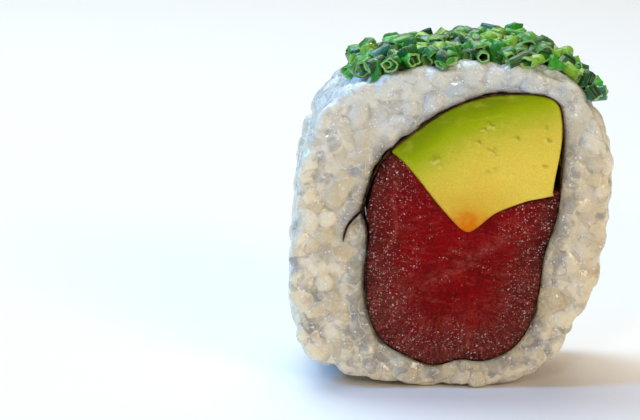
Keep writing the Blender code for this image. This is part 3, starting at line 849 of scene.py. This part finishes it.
def makeFillings():
    inner = moved(wrap, -nori["thick"] / 2)
    seam = smoothLine(section["seam"], 0.6, closed=False)
    tunaSeam = smoothLine(section["seam"][:-2] + tuna["corner"], 0.6, closed=False)
    tunaLoop, avocadoLoop = parted(inner, tunaSeam)[0], parted(inner, seam)[1]
    tunaLoop = slackened(wornRound(spaced(tunaLoop, 0.35), 3), tuna["slack"])
    avocadoLoop = slackened(wornRound(spaced(avocadoLoop, 0.35), 3), avocado["slack"])
    tip = avocadoLoop[avocadoLoop[:, 1].argmin()]
    right, left = (np.linalg.norm(wrap - end, axis=1).argmin() for end in avocado["rindEnds"])

    def fromRind(spots, side):
        # the green is narrower towards the right
        return nearestOn(spots, wrap[right:left + 1], closed=False)[0] + 0.3 * np.clip(spots[:, 0] - 6, 0, 8)

    def along(spots, side, gap=0.35):
        # where on the nori the nearest point is
        return np.linalg.norm(spots[:, None] - spaced(inner, gap), axis=2).argmin(1) * gap

    tunaObj = fillingMesh("tunaStrip", tunaLoop, tuna, tunaRelief, {
        "fromEdge": lambda spots, side: nearestOn(spots, inner)[0],
        "along": along,
        "sinew": tunaSinews,
    })
    avocadoObj = fillingMesh("avocadoWedge", avocadoLoop, avocado, avocadoRelief, {
        "fromRind": fromRind,
        # a spot just below each dent, which carries the painted highlight
        "nicked": avocadoNicks,
        # the dents' own shape, which also sets the painted shade in them
        "dented": lambda spots, side: avocadoNicks(spots, side, 1.0),
        "fromTip": lambda spots, side: np.linalg.norm(spots - tip, axis=1),
    })
    print("fillings:", len(tunaObj.data.polygons), "and", len(avocadoObj.data.polygons), "faces")
    return tunaObj, avocadoObj


def tunaPaint():
    p = Paint("raw tuna", tuna["surface"])
    blotch = p.span(p.cloud(5.0, 5.0, roughness=0.65, warp=0.6), 0.3, 0.75)
    colour = p.mix(blotch, tuna["deep"], tuna["red"])
    inwards = p.value("fromEdge") + 2.5 * p.cloud(2.5, 4.0)
    colour = p.mix(p.span(inwards, 1.4, 7.5, 0.9, 0.0), colour, tuna["brown"])
    colour = p.mix(p.span(inwards, 1.0, 2.8, 0.75, 0.0), colour, tuna["rimmed"])
    outer = p.span(p.value("fromEdge"), 2.5, 8.5, 1.0, 0.0)
    low = p.span(p.height(), 12.0, 20.0, 1.0, 0.0)
    fibre = p.span(p.streaks(3.0, 0.36, 4.0), 0.46, 0.64) * outer * (0.3 + 0.7 * low)  # most at the bottom
    # painted sheen: paler pinkish brown low down and near the edge
    sheen = low * outer * p.span(p.cloud(1.6, 5.0, roughness=0.7), 0.3, 0.7)
    colour = p.mix(sheen * 0.6, colour, tuna["sheen"])
    colour = p.mix(fibre * 0.8, colour, tuna["sinew"])
    colour = p.mix(p.value("sinew") * p.span(p.cloud(1.0, 3.0), 0.3, 0.6), colour, tuna["sinew"])
    fine = p.cloud(0.32, 4.0, roughness=0.75)
    colour = p.mix(p.span(fine, 0.4, 0.6, 0.6, 0.0), colour, tuna["rimmed"])
    strand = p.cloud(0.5, 4.0, stretch=(0.28, 1.0, 1.0), roughness=0.7)
    colour = p.mix(p.span(strand, 0.5, 0.72, 0.0, 0.3), colour, tuna["sinew"])
    crowd = p.span(p.cloud(2.2, 5.0, roughness=0.7) + 0.2 * outer, 0.54, 0.72)  # where the glints gather
    # painted highlights: pale pink dots in the base colour stand for glints on the wet flesh
    glints = p.math("MAXIMUM", p.glitter(0.26, 0.42, 0.38) * 0.6, p.glitter(0.44, 0.45, 0.28)) * crowd
    glints = glints * p.span(p.cloud(0.5, 2.0), 0.3, 0.65, 0.35, 1.0)
    colour = p.mix(glints * 0.85, colour, tuna["glint"])
    return p.feed(Base_Color=colour, Roughness=0.5 - 0.15 * fine, Coat_Weight=0.03 + 0.7 * glints,
                  Normal=p.relief(1.3 * fine + fibre + 0.5 * glints, 0.16))


def avocadoPaint():
    p = Paint("avocado", avocado["surface"])
    away = p.value("fromRind") + 1.6 * p.cloud(4.0, 3.0)
    colour = p.node("ValToRGB", {"stops": [(0.0, avocado["rind"]), (0.16, avocado["green"]),
                                           (0.55, avocado["yellow"]), (1.0, avocado["cream"])]},
                    {"Fac": p.span(away, 0.6, 13.0)})
    blotch = p.span(p.cloud(2.4, 3.0), 0.55, 0.75)
    smear = p.span(p.cloud(1.6, 5.0, stretch=(0.5, 1, 1.6), roughness=0.65), 0.5, 0.8)
    colour = p.mix(0.2 * blotch + 0.25 * smear, colour, avocado["cream"])
    # painted shade in each nick: rind green where the face is dented
    colour = p.mix(p.span(p.value("dented"), 0.05, 0.25) * 0.4, colour, avocado["rind"])
    # painted highlight: pale just below each dent, on its lit edge
    colour = p.mix(p.span(p.value("nicked"), 0.08, 0.25) * 0.5, colour, avocado["paintedNickHighlight"])
    golden = p.span(p.value("fromTip") + 4.0 * p.cloud(2.5, 3.0), 4.0, 12.0, 0.55, 0.0)
    colour = p.mix(golden, colour, avocado["golden"])
    tip = p.span(p.value("fromTip") + 4.0 * p.cloud(1.0, 5.0, roughness=0.65), 2.8, 6.4, 1.0, 0.0)
    colour = p.mix(tip, colour, avocado["tip"])
    grainy = p.cloud(0.24, 3.0, roughness=0.8)
    colour = p.mix(p.span(grainy, 0.4, 0.6, 0.16, 0.0), colour, avocado["rind"])
    return p.feed(Base_Color=colour, Roughness=0.5 + 0.12 * blotch, Coat_Weight=0.02 + 0.05 * smear,
                  Normal=p.relief(1.4 * grainy + 0.8 * smear, 0.12))


# Chives: chopped tubes strewn over the top

chives = {
    "seed": 21,
    "radius": (0.8, 1.35),
    "length": (1.4, 3.6),
    "wall": 0.28,
    # a tube's rings: place along it, share of the wall left out, and how far its colour is that of the cut
    "rings": [(-0.5, 0.85, 0.9), (-0.47, 0.0, 0.1), (-0.2, 0.0, 0.0), (0.2, 0.0, 0.0), (0.47, 0.0, 0.1),
              (0.5, 0.85, 0.9), (0.44, 1.0, 0.8), (0.0, 1.0, 0.3), (-0.44, 1.0, 0.8)],
    "sides": 16,
    "crumpled": 0.16,  # how uneven a piece is, in shares of its radius
    "frayed": 0.09,  # how uneven its ends are, in mm
    "gap": 1.85,  # least distance between pieces of the lower layer
    "inset": 0.9,  # from a cut face to the middle of the nearest piece
    "sparse": 0.1,  # how much of the rice is left bare between them
    "rise": (0.0, 0.1, 0.25, 0.45, 1.1),  # how steeply a piece may stand, in radians
    "sunk": 0.35,
    "top": 1.95,  # how high a piece may stand over the outline
    "piled": 90,  # how many lie on others
    "pile": (0.2, 0.7),  # and how much higher
    "over": 0.6,  # how far a piece may stand out over a cut face
    "left": (-13.0, 41.4),  # where they end on the outline
    "right": (19.3, 39.5),
    "dark": "04300b",
    "light": "40ae2c",
    "yellow": "90c034",
    "teal": "3c9486",
    "inside": "7fb34c",
    "cut": "b6d688",
    "surface": {"IOR": 1.45, "Specular IOR Level": 0.2, "Coat Roughness": 0.18, "Coat IOR": 1.4,
                "Subsurface Weight": 0.15, "Subsurface Radius": (0.4, 0.8, 0.2), "Subsurface Scale": mm},
}


def shapedChive(rng, radius, length):
    # a crumpled tube along X: points, faces, how much each point is cut face, and its angle round X
    sides, rings = chives["sides"], chives["rings"]
    squash, slant = rng.uniform(0.5, 1.0), rng.uniform(-0.35, 0.35)
    bend = rng.uniform(-0.06, 0.06) * length
    angle = np.arange(sides) * 2 * np.pi / sides + rng.uniform(0, 6)
    waves = [(rng.integers(2, 6), rng.uniform(0, 6), rng.uniform(-3, 3)) for _ in range(3)]
    points, faces, cut = [], [], []
    for ring, (along, wall, share) in enumerate(rings):
        ripple = 1 + chives["crumpled"] / 2 * sum(np.sin(angle * n + start + twist * along)
                                                  for n, start, twist in waves)
        reach = (radius - chives["wall"] * wall) * ripple
        y, z = reach * np.cos(angle), reach * np.sin(angle) * squash
        x = along * length + slant * y * 2 * along + (share > 0.5) * rng.normal(0, chives["frayed"], sides)
        points.append(np.column_stack([x, y + bend * (2 * along) ** 2, z]))
        cut += [share] * sides
        faces += band(ring * sides, (ring + 1) % len(rings) * sides, sides)
    return np.vstack(points), faces, cut, np.tile(angle, len(rings))


def chivePlaces(rng, tries=4000):
    # spots on the outline, and their numbers in it: pieces side by side, then those piled on them
    right, left = (np.linalg.norm(riceLine - np.array(chives[k]), axis=1).argmin() for k in ("right", "left"))
    index = rng.integers(right, left, tries)
    spots = atDepth(riceLine[index], rng.uniform(-1, 1, tries) * (halfDepth - chives["inset"]))
    nearFront = np.clip((-spots[:, 1] - halfDepth + 5) / 4, 0, 1)
    bare = bumpy(spots, 3.5, 2.0) + 0.35 * nearFront > 0.5 - chives["sparse"]
    spots, index = spots[~bare], index[~bare]
    base = [(spots[k], index[k]) for k in scattered(spots, chives["gap"])]
    return base, [(base[k][0] + np.array([0, rng.uniform(-1, 1), 0]), base[k][1])
                  for k in rng.choice(len(base), chives["piled"], replace=False)]


def laidChive(rng, spot, heading, piled):
    # one piece as it lies on the rice
    along, out = np.array([heading[0], 0, heading[1]]), np.array([heading[1], 0, -heading[0]])
    radius, length = rng.uniform(*chives["radius"]), rng.uniform(*chives["length"])
    turn, rise = rng.uniform(0, math.pi), rng.choice(chives["rise"])
    longWay = along * math.cos(turn) + np.array([0, math.sin(turn), 0])
    longWay = longWay * math.cos(rise) + out * math.sin(rise)
    reach = radius * math.cos(rise) + length / 2 * math.sin(rise)
    height = min(reach - chives["sunk"], chives["top"] - reach)
    height += rng.uniform(*chives["pile"]) if piled else 0
    shape, faces, cut, angles = shapedChive(rng, radius, length)
    piece = posed(shape, longWay, np.cross(np.cross(out, longWay), longWay), spot + out * height)
    beyond = np.abs(piece[:, 1]).max() - halfDepth - chives["over"]
    piece[:, 1] -= math.copysign(max(beyond, 0), spot[1])
    return piece, faces, cut, angles


def makeChives():
    rng = np.random.default_rng(chives["seed"])
    heading = headings(riceLine)
    base, piled = chivePlaces(rng)
    points, faces, values = [], [], {"cut": [], "tone": [], "round": []}
    for number, (spot, i) in enumerate(base + piled):
        piece, pieceFaces, cut, angles = laidChive(rng, spot, heading[i], number >= len(base))
        offset = sum(len(p) for p in points)
        points.append(piece)
        faces += [tuple(offset + k for k in face) for face in pieceFaces]
        values["cut"] += cut
        values["tone"] += [rng.uniform(0, 1)] * len(piece)
        values["round"] += list(np.sin(angles) * 3)
    print("chives:", len(points), "pieces,", len(faces), "faces")
    return makeMesh("choppedChives", placed(np.vstack(points)), faces, values)


def chivePaint():
    p = Paint("chives", chives["surface"])
    tone = p.value("tone")
    colour = p.mix(p.span(tone, 0.1, 0.9), chives["dark"], chives["light"])
    colour = p.mix(p.span(tone, 0.8, 0.86), colour, chives["yellow"])
    colour = p.mix(p.span(tone, 0.06, 0.12, 0.7, 0.0), colour, chives["teal"])
    colour = p.mix(p.span(p.cloud(1.2, 3.0), 0.45, 0.7) * 0.6, colour, chives["dark"])
    spot = p.node("CombineXYZ", {}, {0: p.value("round") * 3.0, 1: tone * 90.0, 2: p.cloud(2.0)})
    vein = p.node("TexNoise", {}, {"Vector": spot, "Scale": 1.0, "Detail": 3.0, "Roughness": 0.7})
    colour = p.mix(p.span(vein, 0.5, 0.75) * 0.45, colour, chives["yellow"])
    cut = p.value("cut")
    colour = p.mix(p.span(cut, 0.05, 0.3) * 0.8, colour, chives["inside"])
    colour = p.mix(p.span(cut, 0.5, 0.85), colour, chives["cut"])
    return p.feed(Base_Color=colour, Roughness=0.42 - 0.15 * vein, Coat_Weight=0.2 + 0.5 * vein,
                  Normal=p.relief(p.cloud(0.3, 3.0) + vein, 0.1))


# Camera, light and floor

shot = {
    "photo": (640, 420),
    "perMm": 7.5,  # pixels for a millimetre at the front cut face
    "base": (450, 391.5),  # pixel of the section's origin on the front cut face
    "elevation": 11.0,
    "distance": 330.0,
}


def makeCamera():
    wide, high = shot["photo"]
    lift = math.radians(shot["elevation"])
    across = (wide / 2 - shot["base"][0]) / shot["perMm"]
    up = (shot["base"][1] - high / 2) / (shot["perMm"] * math.cos(lift))
    target = Vector((across + shift[0], shift[1] - halfDepth, up)) * mm
    data = bpy.data.cameras.new("camera")
    data.sensor_width, data.clip_start = 36.0, 0.01
    data.lens = shot["distance"] * data.sensor_width / (wide / shot["perMm"])
    camera = bpy.data.objects.new("camera", data)
    camera.location = target + Vector((0, -math.cos(lift), math.sin(lift))) * shot["distance"] * mm
    camera.rotation_euler = (math.pi / 2 - lift, 0, 0)
    scene.collection.objects.link(camera)
    scene.camera = camera


studio = {
    "floor": {"Base Color": (0.92, 0.86, 0.80, 1), "Roughness": 0.8},
    "reach": 3.0,  # metres of floor to each side
    "below": 0.00005,  # how far the floor lies under the part, in metres
    "air": (1.0, 0.98, 0.95, 1),
    "airStrength": 0.17,
    # place, aim and size in metres, power in watts, and colour
    "lights": {
        "skyLight": ((-0.30, 0.30, 0.70), (0, 0, 0.03), 0.5, 5.0, (0.55, 0.78, 1.0)),
        "nearSky": ((-0.125, -0.045, 0.11), (-0.016, -0.012, 0.034), 0.05, 0.15, (0.04, 0.36, 1.0)),
        "topLight": ((0.05, 0.05, 0.8), (0, 0, 0.03), 0.5, 1.6, (1.0, 0.99, 0.97)),
        "frontLight": ((0.45, -0.7, 0.35), (0, 0, 0.02), 0.35, 2.6, (1.0, 0.88, 0.70)),
        "glintLight": ((-0.16, -0.75, 0.36), (0, 0, 0.02), 0.03, 0.8, (1.0, 0.97, 0.92)),
        "floorLight": ((0.0, 1.5, 1.0), (0, 1.1, 0), 1.2, 9.0, (1.0, 0.97, 0.93)),
    },
}


def makeStage():
    corners = np.array([(-1, -1, 0), (1, -1, 0), (1, 1, 0), (-1, 1, 0)]) * studio["reach"]
    floor = makeMesh("floor", corners, [(0, 1, 2, 3)])
    floor.location.z = -studio["below"]
    floor.data.materials.append(Paint("pale floor", studio["floor"]).material)


def makeLights():
    for name, (spot, aim, size, power, colour) in studio["lights"].items():
        data = bpy.data.lights.new(name, "AREA")
        data.shape, data.size, data.energy, data.color = "DISK", size, power, colour
        light = bpy.data.objects.new(name, data)
        light.location = spot
        light.rotation_euler = (Vector(aim) - Vector(spot)).to_track_quat("-Z", "Y").to_euler()
        scene.collection.objects.link(light)
    world = bpy.data.worlds.new("studio")
    scene.world = world
    world.use_nodes = True
    air = world.node_tree.nodes["Background"].inputs
    air["Color"].default_value, air["Strength"].default_value = studio["air"], studio["airStrength"]
    scene.view_settings.view_transform = "Standard"


makeCamera()
makeStage()
makeLights()
print("camera, floor and lights ready")
finish(makeRice(), ricePaint(), "rice", "rice")
finish(makeNori(), noriPaint(), "nori", "nori")
tunaStrip, avocadoWedge = makeFillings()
finish(tunaStrip, tunaPaint(), "tuna", "tuna")
finish(avocadoWedge, avocadoPaint(), "avocado", "avocado")
finish(makeChives(), chivePaint(), "rice")  # on the rice solid, which the grains already replace
